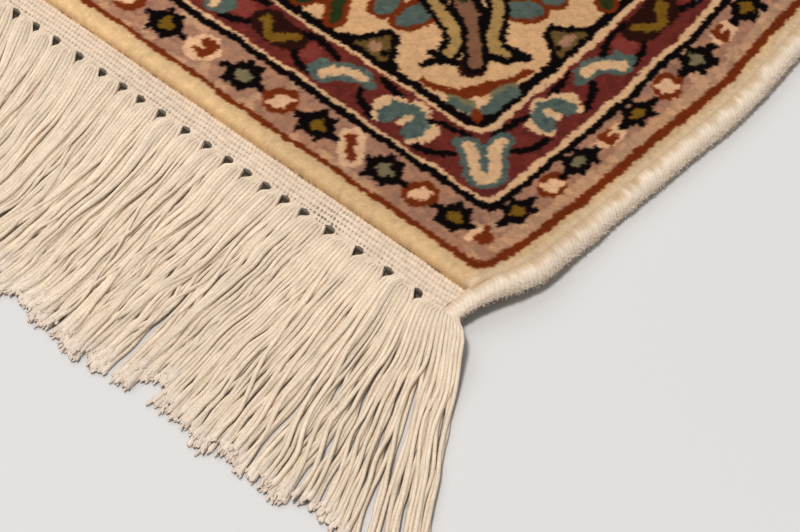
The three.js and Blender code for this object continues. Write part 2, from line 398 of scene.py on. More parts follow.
def maroon_band(chart):
    """Motifs of the maroon band: the corner flower, then arch, oval, hook and oval in turn."""
    chart.inside = (chart.band > 15.9) & (chart.band < 28.9)
    for side, step in ((False, 20.6), (True, 18.6)):
        places, pitch = repeats(side, 45.6, step)
        for n, s in enumerate(places):
            kind = n % 4
            dashes(chart, side, s + pitch / 2, 1 if kind < 2 else -1)
            if kind == 0:
                hooked_arch(chart, side, s)
            elif kind == 2:
                olive_hook(chart, side, s)
            else:
                barred_oval(chart, side, s, 1 if kind == 1 else -1)
        dashes(chart, side, 34.2, -1)
    # Forked flower of the corner
    low = [(29.6, 25.6), (27.2, 24.8), (24.6, 22.4), (22.2, 20.4), (20, 19.8)]
    high = [(25, 31.2), (24.4, 28.8), (22.6, 26.6), (20.4, 24.6), (18.9, 22.2), (20, 19.8)]
    chart.strokes(False, (3.1, "teal", *low), (3.1, "teal", *high))
    chart.oval(False, (32, 24.8), (1.7, 1.5), "teal")
    chart.oval(False, (20.4, 20.4), (2.6, 2.4), "teal")
    chart.strokes(False, (1.5, "cream", *low), (1.5, "cream", *high))
    chart.oval(False, (23.4, 24.2), (2.8, 1.15), "teal", 50)
    chart.inside[:] = True


def lobe(chart, centre, radii, turn=0):
    """Teal leaf lobe with a rust outline."""
    chart.oval(False, centre, (radii[0] + 1.5, radii[1] + 1.5), "rust", turn)
    chart.oval(False, centre, radii, "teal", turn)


def half_flower(chart, side, s):
    """Black-outlined half flower that stands on the inner black line."""
    chart.oval(side, (s, 35.8), (3.3, 4.3), "moss")
    at = placer(s)
    chart.strokes(
        side,
        (1.5, "moss", at(-4.4, 33.4), at(0, 33.6), at(4.4, 33.4)),
        (0.85, "black", at(-8.4, 32.2), at(-5.6, 33.2), at(-3.9, 35.7), at(-2.5, 36.8), at(-1.6, 39.7),
         at(1.6, 39.8), at(2.7, 36.8), at(4.1, 35.5), at(5.6, 33.2), at(8.4, 32.2)),
    )
    chart.oval(side, (s + 0.4, 34.3), (2.1, 1.5), "pink")
    chart.oval(side, (s - 2.6, 34.4), (0.9, 0.8), "black")


def side_leaf(chart, side, s, flip=1):
    """Green leaf with a rust outline that leans on the inner black line."""
    at = placer(s, flip)
    line = [at(0, 34.6), at(2.6, 38), at(4.6, 41.6)]
    chart.strokes(side, (2.8, "rust", *line), (1.4, "green", *line))


def corner_plant(chart):
    """Plant on the diagonal of the main border, its two sides alike."""
    lobe(chart, (67.2, 48.2), (3.4, 5.2), 15)
    lobe(chart, (74.3, 46), (2.8, 3.6))
    lobe(chart, (48.8, 66.2), (5.4, 2.8), -35)
    lobe(chart, (46.4, 73.8), (3.4, 2.6))
    # Stem
    stem = [(45.6, 45.4), (49, 49), (53.4, 53), (58, 56.6), (64, 60.6), (72, 68)]
    chart.oval(False, (45.8, 44.6), (3.9, 3.6), "brown", 45)
    chart.strokes(
        False,
        (2.9, "black", *stem),
        (3.6, "black", (56.5, 56), (64, 61), (74, 70)),
        (2, "stem", (57.5, 56.6), (64, 60.6), (72, 68)),
        (1.45, "stem", *stem),
    )
    chart.oval(False, (46.4, 46.2), (2.1, 1.7), "stem", 45)
    chart.oval(False, (62.4, 60.2), (1.9, 1.5), "green", 45)
    # Curved leaves, from their tips at the top to their feet
    low = [(72, 56), (67, 54.4), (62, 52.6), (57.6, 50.9), (54.6, 48.4), (53, 45.4), (52.6, 42.4)]
    high = [(60, 70), (56.4, 65.2), (53.2, 61.4), (50.6, 57.6), (48.4, 54.2), (45.6, 52),
            (42.4, 52.2)]
    for line, foot in ((low, (52.9, 44.2)), (high, (44.4, 52))):
        chart.strokes(
            False, (2.9, "black", *line[:-2], foot), (2, "black", *line[-2:]), (1.4, "tan", *line),
        )
    for spur in (
        [(53.2, 41.6), (55, 37.2)], [(53.4, 41.8), (56.2, 41.6)], [(52, 41.4), (49.4, 42.6)],
        [(43, 54.4), (37.8, 54.6)], [(41, 51), (38.8, 53.6)], [(42, 50.6), (44.6, 49.6)],
    ):
        chart.stroke(False, spur, 1.05, "black")
    # Chevron in the inner corner of the band
    chart.strokes(
        False,
        (1.6, "greygreen", (34.4, 46.2), (35.4, 41.6)),
        (1.7, "teal", (33, 44.6), (33.7, 40.6), (34, 36.4)),
        (1.1, "cream", (45, 33.2), (41.4, 33.4)),
        (1.5, "greygreen", (42.6, 34.6), (38, 35.2)),
        (1.1, "teal", (41.4, 33.3), (36.4, 34)),
        (1, "rust", (51.6, 33.6), (48, 34), (44.6, 35.2), (41.2, 36.8), (39.2, 39), (38.2, 42.4),
         (36, 46.8), (34.6, 52)),
        (1.7, "rust", (41.8, 37), (39, 39.4), (38.4, 42.6)),
        (0.9, "rust", (35.6, 34.4), (33.4, 33)),
    )
    chart.oval(False, (37.4, 37.6), (1.3, 1.3), "blush")


def rosette(chart, side, s, d, yarn):
    """Round flower of eight petals."""
    chart.oval(side, (s, d), (10.5, 9.5), "black")
    for k in range(8):
        a = math.pi * k / 4
        chart.oval(side, (s + 7.0 * math.cos(a), d + 6.2 * math.sin(a)), (3.6, 3.4), "black")
        chart.oval(side, (s + 6.6 * math.cos(a), d + 5.8 * math.sin(a)), (2.7, 2.5), yarn)
    chart.oval(side, (s, d), (5, 4.6), "blush")
    chart.oval(side, (s, d), (2.6, 2.4), "rust")


def main_border(chart):
    """Beyond the corner: half flowers, leaves, rosettes and a winding stem in an even repeat."""
    corner_plant(chart)
    for side in (False, True):
        s_all, d_all = chart.plane(side)
        places, pitch = repeats(side, FIRST_ROSETTE, 46)
        wind = 64 + 13 * np.sin(np.pi * (s_all - FIRST_ROSETTE + pitch / 2) / pitch)
        along = (s_all > 92) & (d_all < s_all) & (d_all > 33) & (d_all < 95)
        chart.fill(along & (np.abs(d_all - wind) < 2.3), "black")
        chart.fill(along & (np.abs(d_all - wind) < 1.2), "tan")
        half_flower(chart, side, 65 if side else 66.6)
        side_leaf(chart, side, 80.5)
        for n, s in enumerate(places):
            rosette(chart, side, s, 64, "teal" if n % 2 else "rust")
            half_flower(chart, side, s)
            chart.stroke(side, [(s - 8, 94.6), (s, 88.5), (s + 8, 94.6)], 1.5, "black")
            chart.oval(side, (s, 92.6), (3.2, 2.4), "moss")
            for flip in (-1, 1):
                side_leaf(chart, side, s + flip * 17, flip)
                lobe(chart, (82, s + flip * 14) if side else (s + flip * 14, 82), (3.4, 4))
            if s < places[-1]:
                lobe(chart, (47, s + pitch / 2) if side else (s + pitch / 2, 47), (3.6, 4.2))
    inner_guard(chart)
    field(chart)


def inner_guard(chart):
    """Small spots along the inner maroon band."""
    d = BORDER_INNER + 9.2
    for side in (False, True):
        for n, s in enumerate(repeats(side, d, 13)[0]):
            chart.oval(side, (s, d), (4.2, 3.8), "black")
            chart.oval(side, (s, d), (2.9, 2.5), ("teal", "cream", "olive")[n % 3])


def field(chart):
    """Plain maroon field with a medallion and a bracket in each corner."""
    x, y = LINE_X - chart.v, LINE_Y - chart.u
    long, wide = MEDALLION[1], MEDALLION[0]
    edge_x, edge_y = LINE_X - FIELD_EDGE, LINE_Y - FIELD_EDGE
    r = np.hypot(x / wide, y / long)
    turn = np.arctan2(y / long, x / wide)
    scallop = 1 + 0.045 * np.abs(np.cos(8 * turn))
    inside = (np.abs(x) < edge_x - 1) & (np.abs(y) < edge_y - 1)
    for reach, yarn in (
        (1, "black"), (0.975, "ground"), (0.80, "rust"), (0.775, "teal"), (0.55, "black"),
        (0.53, "maroon"), (0.30, "black"), (0.275, "ground"), (0.12, "rust"),
    ):
        chart.fill(inside & (r / scallop < reach), yarn)
    for k in range(9):
        a = math.pi / 2 * k / 8
        spot = (LINE_X - wide * 0.885 * math.cos(a), LINE_Y - long * 0.885 * math.sin(a))
        chart.oval(False, spot, (5, 5), "black")
        chart.oval(False, spot, (3.6, 3.6), "rust")
    corner = np.hypot((edge_x - x) / 78, (edge_y - y) / 128)
    wave = 1 + 0.05 * np.cos(6 * np.arctan2(edge_y - y, edge_x - x))
    for reach, yarn in ((1, "black"), (0.96, "ground"), (0.72, "teal"), (0.68, "rust"), (0.62, "ground")):
        chart.fill(inside & (corner / wave < reach), yarn)


def make_chart():
    chart = Chart()
    border_bands(chart)
    guard_motifs(chart)
    maroon_band(chart)
    main_border(chart)
    return chart.yarn


CHART = make_chart()
YARN_TONES = (PILE_SHADE * np.array([linear(YARNS[n]) for n in NAMES])) ** (1 / GAMMA)
SOFT_EDGE = 0.26
RAGGED = 0.40
# Painted sheen: the share by which the pile is coloured lighter far from the +X, -Y corner
PAINTED_SHEEN_GAIN = 0.26


def beds(x, y):
    """Softly wandering offset of the rows of knots."""
    return 0.25 * noise(x, y, 9.0, 16)


def pattern_place(x, y):
    """Distances inwards from the rust lines of the end and of the side, with the lines' own wander."""
    u = LINE_Y - np.abs(y)
    line = LINE_X - bends(np.where(x < 0, -y, y))
    v = LINE_X - np.abs(x) * LINE_X / line
    lag = 0.4 * smooth(35, 50, u) + 1.3 * smooth(58, 72, u) * (1 - smooth(160, 240, u))
    v = v - lag * smooth(2, 12, v) - 1.6 * (1 - smooth(0, 26, u)) * (1 - smooth(6, 16, v))
    v = v + 0.28 * noise(x, y, 6.5, 11) + 0.25 * noise(x, y, 2.2, 13) + beds(x, y)
    u = u - 0.5 * smooth(42, 60, v) * smooth(9, 13, u) * (1 - smooth(17, 27, u))
    u = u + 0.28 * noise(x, y, 6.5, 12) + 0.22 * noise(x, y, 2.2, 14) + beds(y, x)
    return u, v


def knots_at(x, y, ragged):
    """Chart cell of each place, with the fibres of the knots straying over their edges."""
    u, v = pattern_place(x, y)
    u = u + ragged * (noise(x, y, 0.75, 21) + 0.6 * noise(x, y, 0.37, 23))
    v = v + ragged * (noise(x, y, 0.75, 22) + 0.6 * noise(x, y, 0.37, 24))
    iu = np.clip(np.round(u / CELL).astype(int) + CHART_OFFSET, 0, CHART_LONG - 1)
    iv = np.clip(np.round(v / CELL).astype(int) + CHART_OFFSET, 0, CHART_WIDE - 1)
    return iu, iv


def knot_values(seed, iu, iv):
    """Random value of the knot that each cell belongs to."""
    values = np.random.default_rng(seed).normal(0, 1, (CHART_LONG, CHART_WIDE))
    return values[iu // CELLS_IN_KNOT, iv // CELLS_IN_KNOT]


def pile_colour(x, y, ragged=RAGGED):
    """Linear colour of the pile, with the uneven dye of its knots and fibres, and a painted sheen that
    makes it lighter further from the +X, -Y corner.
    """
    iu, iv = knots_at(x, y, ragged)
    yarn = CHART[iu, iv]
    colour = 0.44 * YARN_TONES[yarn]
    for step_x, step_y in ((SOFT_EDGE, 0), (-SOFT_EDGE, 0), (0, SOFT_EDGE), (0, -SOFT_EDGE)):
        near = CHART[knots_at(x + step_x, y + step_y, ragged)]
        colour = colour + 0.14 * YARN_TONES[near]
    colour = colour ** GAMMA
    knot_tone = knot_values(31, iu, iv)
    fibre = noise(x, y, 0.45, 32) + 0.6 * noise(x, y, 1.1, 33)
    broad = noise(x, y, 9.0, 34) + 0.6 * noise(x, y, 3.5, 35)
    mottled = np.isin(yarn, [NAMES.index(n) for n in ("pink", "salmon", "maroon", "teal")])
    depth = np.where(mottled, 0.10, 0.045)
    tone = 1 + depth * knot_tone + 0.09 * fibre + 0.05 * broad
    # Painted sheen: the colour grows up to about a quarter lighter with distance from the +X, -Y corner,
    # standing in for light caught by the nap.
    away = np.hypot(np.maximum(LINE_X - x, 0), 0.4 * np.maximum(LINE_Y + y, 0))
    colour = colour * (np.maximum(tone, 0.3) * (1 + PAINTED_SHEEN_GAIN * smooth(30, 150, away)))[..., None]
    warm = (np.where(mottled, 0.10, 0.03) * (broad + 0.4 * knot_tone))[..., None]
    return np.clip(colour * (1 + warm * np.array([0.25, 0.0, -0.6])), 0.001, 1)


def pile_height(x, y):
    """Height of the cut pile inside its rounded rim, with the rows and fibres of its knots."""
    knot = knot_values(41, *knots_at(x, y, 0.2))
    u, v = pattern_place(x, y)
    row = 0.04 * np.cos(2 * np.pi * u / KNOT) + 0.02 * np.cos(2 * np.pi * v / KNOT)
    fibres = 0.075 * noise(x, y, 0.5, 42) + 0.05 * noise(x, y, 1.2, 43) + 0.07 * noise(x, y, 7, 44)
    return PILE_TOP - 0.1 + 0.03 * np.clip(knot, -1.5, 1.5) + row + fibres


# Meshes

CORNER_LIFT = 3.4
LIFT_WAY = (0.61, -0.64, 1.0)
LIFT_REACH = 46


def in_scene(name, data):
    """New object with that data, in the scene."""
    obj = bpy.data.objects.new(name, data)
    bpy.context.scene.collection.objects.link(obj)
    return obj


def corner_lift(x, y):
    """How the photographed corner stands off the floor, and reaches a little outwards as it does."""
    away = np.hypot(HALF_WIDTH - 5 - x, np.maximum(y + HALF_LENGTH, 0))
    past_end = smooth(1, 20, -HALF_LENGTH - y)
    height = CORNER_LIFT * (1 - smooth(0, LIFT_REACH, away)) * (1 - past_end)
    return height[:, None] * np.array(LIFT_WAY)


def mesh_object(name, points, faces, colours, flat=False, smooth_faces=True):
    """points in millimetres, faces as rows of corner numbers, colours one for each point. flat is for a
    piece that is mapped by its plan."""
    mesh = bpy.data.meshes.new(name)
    plan = points[:, :2] / (2 * HALF_LENGTH) + 0.5
    points = points + corner_lift(points[:, 0], points[:, 1])
    sides = faces.shape[1]
    mesh.vertices.add(len(points))
    mesh.vertices.foreach_set("co", (points * MM).astype(np.float32).ravel())
    mesh.loops.add(faces.size)
    mesh.loops.foreach_set("vertex_index", faces.astype(np.int32).ravel())
    mesh.polygons.add(len(faces))
    mesh.polygons.foreach_set("loop_start", np.arange(0, faces.size, sides, dtype=np.int32))
    mesh.polygons.foreach_set("use_smooth", np.full(len(faces), smooth_faces))
    layer = mesh.color_attributes.new("Yarn", "FLOAT_COLOR", "POINT")
    full = np.ones((len(points), 4), np.float32)
    full[:, :3] = colours
    layer.data.foreach_set("color", full.ravel())
    if flat:
        layer = mesh.uv_layers.new(name="OFBake")
        layer.data.foreach_set("uv", plan.astype(np.float32)[faces.ravel()].ravel())
    mesh.update(calc_edges=True)
    mesh.validate()
    return in_scene(name, mesh)


def as_points(x, y, z):
    """List of points from grids of coordinates."""
    return np.stack([x, y, z], -1).reshape(-1, 3)


def grid_faces(rows, columns):
    """Quads of a grid whose points are counted row by row."""
    r, c = np.meshgrid(np.arange(rows - 1), np.arange(columns - 1), indexing="ij")
    a = (r * columns + c).ravel()
    return np.stack([a, a + 1, a + columns + 1, a + columns], 1)


def compact(points, faces):
    """Faces and points without those that no face uses, and which points are kept."""
    used = np.unique(faces)
    place = np.full(len(points), -1)
    place[used] = np.arange(len(used))
    return points[used], place[faces], used


def rim_edges(faces):
    """Edges on the rim of a patch, each as it runs in its face."""
    edges = np.concatenate([faces[:, [k, (k + 1) % 4]] for k in range(4)])
    keys = np.sort(edges, axis=1)
    order = np.lexsort((keys[:, 1], keys[:, 0]))
    same = np.all(keys[order][1:] == keys[order][:-1], axis=1)
    lone = np.ones(len(edges), bool)
    lone[order[1:][same]] = False
    lone[order[:-1][same]] = False
    return edges[lone]


# Materials

BUMP_DEPTH = 0.0002


def new_material(name):
    material = bpy.data.materials.new(name)
    material.use_nodes = True
    nodes = material.node_tree.nodes
    shader = nodes["Principled BSDF"]
    return material, nodes, material.node_tree.links, shader


def noise_node(nodes, links, place, scale, detail):
    """Noise in object space."""
    node = nodes.new("ShaderNodeTexNoise")
    node.inputs["Scale"].default_value = scale
    node.inputs["Detail"].default_value = detail
    links.new(place.outputs["Object"], node.inputs["Vector"])
    return node.outputs["Fac"]


def yarn_material(name, roughness, sheen, bump_scale, bump_strength, grain):
    """Dull yarn in the mesh's own colours, with a fibre bump. grain is the scale of the noise that
    lightens and darkens it, and its least and most."""
    material, nodes, links, shader = new_material(name)
    shader.inputs["Roughness"].default_value = roughness
    shader.inputs["Sheen Weight"].default_value = sheen
    shader.inputs["Sheen Roughness"].default_value = 0.4
    shader.inputs["Specular IOR Level"].default_value = 0.03
    place = nodes.new("ShaderNodeTexCoord")
    bump = nodes.new("ShaderNodeBump")
    bump.inputs["Strength"].default_value = bump_strength
    bump.inputs["Distance"].default_value = BUMP_DEPTH
    links.new(noise_node(nodes, links, place, bump_scale, 3), bump.inputs["Height"])
    links.new(bump.outputs["Normal"], shader.inputs["Normal"])
    yarn = nodes.new("ShaderNodeVertexColor")
    yarn.layer_name = "Yarn"
    ramp = nodes.new("ShaderNodeMapRange")
    ramp.inputs["To Min"].default_value = grain[1]
    ramp.inputs["To Max"].default_value = grain[2]
    mix = nodes.new("ShaderNodeVectorMath")
    mix.operation = "SCALE"
    links.new(noise_node(nodes, links, place, grain[0], 4), ramp.inputs["Value"])
    links.new(yarn.outputs["Color"], mix.inputs[0])
    links.new(ramp.outputs["Result"], mix.inputs["Scale"])
    links.new(mix.outputs["Vector"], shader.inputs["Base Color"])
    return material


PILE = yarn_material("silk_pile_yarn", 0.8, 0.0, 2600, 0.45, (1900, 0.8, 1.2))
KILIM = yarn_material("woven_cotton", 0.9, 0.05, 3200, 0.25, (2400, 0.9, 1.08))
STRAND = yarn_material("twisted_cotton", 0.9, 0.1, 2600, 0.8, (1700, 0.8, 1.2))
SIDE = yarn_material("overcast_silk", 0.85, 0.15, 2600, 0.35, (1900, 0.9, 1.1))


def dress(obj, material):
    """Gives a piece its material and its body."""
    obj.data.materials.append(material)
    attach(obj, "root")
    return obj


# Pile

FINE_CELL = 0.38
COARSE_STEP = 6
COARSE_CELL = FINE_CELL * COARSE_STEP
FINE_REACH = 156
VIEW_REACH = 152
PILE_END = HALF_LENGTH - KILIM_WIDTH
END_SLOPE = (3.2, 1.8)
SIDE_SLOPE = (1.8, 0.8)
OVERLAP = 1.4
# Painted light: how much lighter the pile is coloured on its slope down to the bare end
PAINTED_RIM_LIGHT = 0.3
RIM_FOOT = 3.0
TINY = 1e-9


def pile_sides(y):
    """Where the pile begins and ends across the rug."""
    return -body_edge(-y) - OVERLAP, body_edge(y) + OVERLAP


def rounded_drop(inward, slope):
    """How far the pile lies below its top near its rim. slope is how wide and how deep that is."""
    t = np.clip(inward / slope[0], 0, 1)
    return slope[1] * (1 - np.sqrt(1 - (1 - t) ** 2))


def pile_patch(name, lines_x, lines_y, keep, jitter):
    """Piece of the pile between grid lines, with its rim folded down to the foundation."""
    share, y = np.meshgrid(lines_x, lines_y, indexing="xy")
    left, right = pile_sides(y)
    x = left + (right - left) * share
    rng = np.random.default_rng(51)
    inner = (share > 0.003) & (share < 0.997) & (np.abs(y) < PILE_END - 1)
    x = x + jitter * rng.uniform(-1, 1, x.shape) * inner
    y = y + jitter * rng.uniform(-1, 1, x.shape) * inner
    from_side = np.minimum(x - left, right - x)
    from_end = PILE_END - np.abs(y)
    drop = np.maximum(rounded_drop(from_side, SIDE_SLOPE), rounded_drop(from_end, END_SLOPE))
    z = pile_height(x, y) - drop
    points = as_points(x, y, z)
    faces = grid_faces(len(lines_y), len(lines_x))
    middle = points[faces].mean(axis=1)
    faces = faces[keep(middle[:, 0], middle[:, 1])]
    points, faces, _ = compact(points, faces)
    x, y = points[:, 0], points[:, 1]
    # Painted light: the colour is made up to 30 % lighter on the slope down to the end, where the pile
    # faces away from the light, and the wall under the rim takes that lightened colour.
    lean = 1 - np.clip((PILE_END - np.abs(y)) / END_SLOPE[0], 0, 1)
    colours = pile_colour(x, y) * (1 + PAINTED_RIM_LIGHT * lean)[:, None]
    to_side = np.minimum(x + body_edge(-y), body_edge(y) - x) + OVERLAP + 0.6 * noise(x, y, 0.8, 54)
    pale = 0.30 * (1 - smooth(0.4, 3.4, to_side))[:, None]
    colours = colours * (1 - pale) + SIDE_SHADE * linear(SIDE_SILK) * pale
    # Wall under the rim, with dark dots of painted shade at its foot, where it meets the foundation
    rim = rim_edges(faces)
    on_rim = np.unique(rim)
    low = points[on_rim].copy()
    low[:, 2] = RIM_FOOT + 0.15 * noise(low[:, 0], low[:, 1], 0.9, 53)
    foot = low.copy()
    foot[:, 2] = FOUNDATION_TOP - 0.2
    foot_shade_dots = noise(low[:, 0], low[:, 1], 1.0, 52) > 0.3
    shade = np.where(foot_shade_dots, 0.3, 1.0)[:, None]
    total, count = len(points), len(on_rim)
    place = np.full(total, -1)
    place[on_rim] = np.arange(count)
    a, b = rim[:, 1], rim[:, 0]
    low_a, low_b = total + place[a], total + place[b]
    upper = np.stack([a, b, low_b, low_a], 1)
    lower = np.stack([low_a, low_b, count + low_b, count + low_a], 1)
    points = np.concatenate([points, low, foot])
    colours = np.concatenate([colours, colours[on_rim], colours[on_rim] * shade])
    faces = np.concatenate([faces, upper, lower])
    obj = mesh_object(name, points, faces, colours, True)
    return dress(obj, PILE)


def make_pile():
    """Fine pile at the photographed corner, and coarse pile for the rest in two halves."""
    width = 2 * (HALF_WIDTH - CORD_WIDTH - PIECE_GAP + OVERLAP)
    fine_x = 1 - FINE_REACH / width
    block = COARSE_CELL / width

    def in_view(x, y):
        """The corner in view, cut along coarse cells so that the two grids meet."""
        left, right = pile_sides(y)
        column = np.floor(((x - left) / (right - left) - fine_x) / block) * block + fine_x
        row = np.floor((y + PILE_END) / COARSE_CELL) * COARSE_CELL - PILE_END
        u = LINE_Y + row
        v = (1 - column) * width - 3.6
        return (u + v < VIEW_REACH) & (column >= fine_x - TINY)

    def elsewhere(x, y):
        return ~in_view(x, y)

    fine_lines = np.arange(fine_x, 1 + TINY, block / COARSE_STEP)
    fine_lines[-1] = 1.0
    fine_rows = -PILE_END + FINE_CELL * np.arange(int(FINE_REACH / FINE_CELL))
    pile_patch("pile_corner", fine_lines, fine_rows, in_view, 0.09)

    coarse_right = np.arange(fine_x, 1 + TINY, block)
    coarse_right[-1] = 1.0
    coarse_left = np.linspace(0, fine_x, int(round(fine_x / block)) + 1)
    columns = np.concatenate([coarse_left[:-1], coarse_right])
    rows_total = int(2 * PILE_END / COARSE_CELL)
    rows = -PILE_END + COARSE_CELL * np.arange(rows_total + 1)
    rows[-1] = PILE_END
    half = rows_total // 2
    pile_patch("pile_front", columns, rows[: half + 1], elsewhere, 0.0)
    pile_patch("pile_back", columns, rows[half:], elsewhere, 0.0)


# Foundation, the cloth itself

# Lip under the slits of each bare end, and how dark it is coloured as painted shadow
LIP = 1.9
LIP_TOP = 0.3
SLIT_PAINTED_SHADOW = 0.16


def make_foundation():
    """Closed slab of the foundation, with a thin lip at each end under the slits of the bare end,
    coloured dark as the painted shadow in those slits.
    """
    rows = np.linspace(-HALF_LENGTH, HALF_LENGTH, 71)
    before, after = [rows[0] - LIP, rows[0] - 0.05], [rows[-1] + 0.05, rows[-1] + LIP]
    rows = np.concatenate([before, rows, after])
    columns = np.linspace(0, 1, 41)
    share, y = np.meshgrid(columns, rows, indexing="xy")
    x = -body_edge(-y) + (body_edge(y) + body_edge(-y)) * share
    count = x.size
    height = np.where(np.abs(y) > HALF_LENGTH + 0.01, LIP_TOP, FOUNDATION_TOP - 0.25)
    top = as_points(x, y, height)
    base = as_points(x, y, np.zeros(x.shape))
    faces = grid_faces(len(rows), len(columns))
    rim = rim_edges(faces)
    walls = np.stack([rim[:, 1], rim[:, 0], rim[:, 0] + count, rim[:, 1] + count], 1)
    back = faces[:, ::-1] + count
    points = np.concatenate([top, base])
    cotton = np.tile(linear(COTTON), (count, 1))
    # Painted shadow: the lips, and the top edge of the walls round them, are darkened to about a sixth of
    # the cotton colour, standing in for the shade in the slits.
    cotton[np.abs(top[:, 1]) > HALF_LENGTH - 0.1] *= SLIT_PAINTED_SHADOW
    under = pile_colour(base[:, 0], base[:, 1], 0.0) * 0.8 + 0.1 * linear(COTTON)
    bare = np.abs(base[:, 1]) > PILE_END
    under[bare] = linear(COTTON)
    colours = np.concatenate([cotton, under])
    obj = mesh_object("foundation", points, np.concatenate([faces, walls, back]), colours, True, False)
    return dress(obj, KILIM)


# Bare woven ends

STITCH = 1.08
WEFT_ROW = 1.42
KILIM_PAST = 1.3
KILIM_UNDER = 0.6
KILIM_SIDE = 0.9
HOLE_REACH = 1.9
HOLE_SIZE = (1.7, 2.3)


def stitch_height(x, y):
    """Height from 0 to 1 of small slanted stitches, each row half a stitch over from the last."""
    y_in = y + HALF_LENGTH + 0.35 * noise(x, y, 7, 61)
    row = np.floor(y_in / WEFT_ROW)
    q = y_in / WEFT_ROW - row - 0.5
    p = x / STITCH + 0.5 * (row % 2) + 0.45 * q + 0.3 * noise(x, y, 3, 62)
    p = p - np.floor(p) - 0.5
    bead = np.clip(1 - (p / 0.56) ** 2 - (q / 0.6) ** 2, 0, 1)
    return np.sqrt(bead)


def make_kilim(name, turn, x_from, x_to, cell_x, cell_y):
    """Top of one bare end between two places across the rug."""
    columns = np.linspace(x_from, x_to, int((x_to - x_from) / cell_x) + 1)
    depth = KILIM_WIDTH + KILIM_UNDER
    count = int((depth + KILIM_PAST) / cell_y) + 1
    rows = np.linspace(-HALF_LENGTH - KILIM_PAST, -HALF_LENGTH + depth, count)
    x, y = np.meshgrid(columns, rows, indexing="xy")
    x = np.clip(x, -body_edge(-y) - KILIM_SIDE, body_edge(y) + KILIM_SIDE)
    bead = stitch_height(x, y)
    z = FOUNDATION_TOP - 0.35 + 0.5 * bead + 0.08 * noise(x, y, 0.9, 63)
    holes = LINE_X - np.array(bundle_edges()[1:-1])
    if turn:
        holes = -holes
    near = holes[np.argmin(np.abs(x[0][:, None] - holes[None]), axis=1)]
    away = np.hypot((x - near[None]) / HOLE_SIZE[0], (y + HALF_LENGTH + HOLE_REACH) / HOLE_SIZE[1])
    past = smooth(0.35, KILIM_PAST, -HALF_LENGTH - y)
    z = z - 0.7 * past ** 2 - 0.8 * (1 - smooth(1.0, 1.3, away))
    # Painted shade: the cotton is coloured darker and warmer in the creases between the stitches and
    # lighter on their tops; the noise terms are its own uneven tone.
    tone = 0.68 + 0.38 * bead + 0.10 * noise(x, y, 1.0, 64) + 0.03 * noise(x, y, 12, 65)
    colours = (KILIM_SHADE * linear(KILIM_COTTON) * tone[..., None]).reshape(-1, 3)
    colours = colours * (1 - (1 - bead.reshape(-1, 1)) * np.array([0.0, 0.05, 0.12]))
    points = as_points(x, y, z)
    faces = grid_faces(len(rows), len(columns))
    faces = faces[away.ravel()[faces].min(axis=1) > 1]
    points, faces, used = compact(points, faces)
    colours = colours[used]
    if turn:
        points[:, :2] *= -1
    obj = mesh_object(name, points, faces, colours, True)
    return dress(obj, KILIM)


# Tubes: many strands in one mesh

def tubes(paths, radii, sides, tones, base, twist=0.0):
    """paths is strands by steps by 3, radii strands by steps, and tones the same, or with a last axis of
    three for a tint. twist is how far the ply turns at each step."""
    strands, steps, _ = paths.shape
    way = np.gradient(paths, axis=1)
    way /= np.linalg.norm(way, axis=2, keepdims=True)
    across = np.cross(way, np.array([0.0, 0.0, 1.0]))
    across /= np.maximum(np.linalg.norm(across, axis=2, keepdims=True), 1e-6)
    up = np.cross(across, way)
    angles = 2 * np.pi * np.arange(sides) / sides
    ring = np.cos(angles)[:, None] * across[:, :, None] + np.sin(angles)[:, None] * up[:, :, None]
    points = paths[:, :, None] + radii[:, :, None, None] * ring
    counts = (np.arange(strands), np.arange(steps - 1), np.arange(sides))
    strand, step, k = np.meshgrid(*counts, indexing="ij")
    a = (strand * steps + step) * sides + k
    b = (strand * steps + step) * sides + (k + 1) % sides
    faces = np.stack([a + sides, b + sides, b, a], -1).reshape(-1, 4)
    tone = np.atleast_3d(tones)[:, :, None]
    tone = np.broadcast_to(tone, (*points.shape[:3], tone.shape[-1]))
    # Painted shade: a twisting stripe darkens the grooves between the two plies and lightens their
    # crests.
    if twist:
        turns = np.cos(angles * 2 + twist * np.arange(steps)[None, :, None])
        tone = tone * (1 + 0.05 * turns[..., None])
    colours = (np.asarray(base) * tone).reshape(-1, 3)
    return points.reshape(-1, 3), faces, colours


def join(parts):
    """One mesh from several lists of points, faces and colours."""
    points, faces, colours = zip(*parts)
    starts = np.cumsum([0] + [len(p) for p in points[:-1]])
    faces = [f + start for f, start in zip(faces, starts)]
    return np.concatenate(points), np.concatenate(faces), np.concatenate(colours)


# Fringe

def drift_at(place):
    """Sideways shift of the tip, and how early it leans, for a strand rooted at that place."""
    rows = np.array(DRIFT)
    return np.interp(place, rows[:, 0], rows[:, 1]), np.interp(place, rows[:, 0], rows[:, 2])


def bundle_edges():
    """Places of the gaps between the bundles, counted from the rust line of the near side."""
    start = NEAR_GAPS[-1]
    counts = range(1, FURTHER_BUNDLES + 1)
    further = [start + (FAR_GAP - start) * k / FURTHER_BUNDLES for k in counts]
    return [OUTER_BUNDLE_EDGE, *NEAR_GAPS, *further, 2 * LINE_X - OUTER_BUNDLE_EDGE]


NEAR_LENGTHS = [58, 60, 60, 58, 56, 61, 60, 63, 60, 58, 58, 58, 57, 58, 60, 58, 59, 58, 60]
STRAND_RADIUS = 0.53
STRAND_PITCH = 1.02
HOLE_WIDTH = 3.2
OUTER_HOLE_WIDTH = HOLE_WIDTH * 1.5
ROOT_Y = HALF_LENGTH - 0.3
LAYER_STEP = 0.52
LYING_HEIGHT = STRAND_RADIUS * 0.95
STRANDS_IN_CLUMP = 5
STRAY_SHARE = 0.16
TIP_TINT = np.array([0.98, 1.0, 1.07])
NEAR_BUNDLES = 20
ALL_BUNDLES = len(bundle_edges()) - 1


def group_seed(k):
    """Neighbouring bundles wave together in small groups."""
    return 100 * (k // 3) + 85


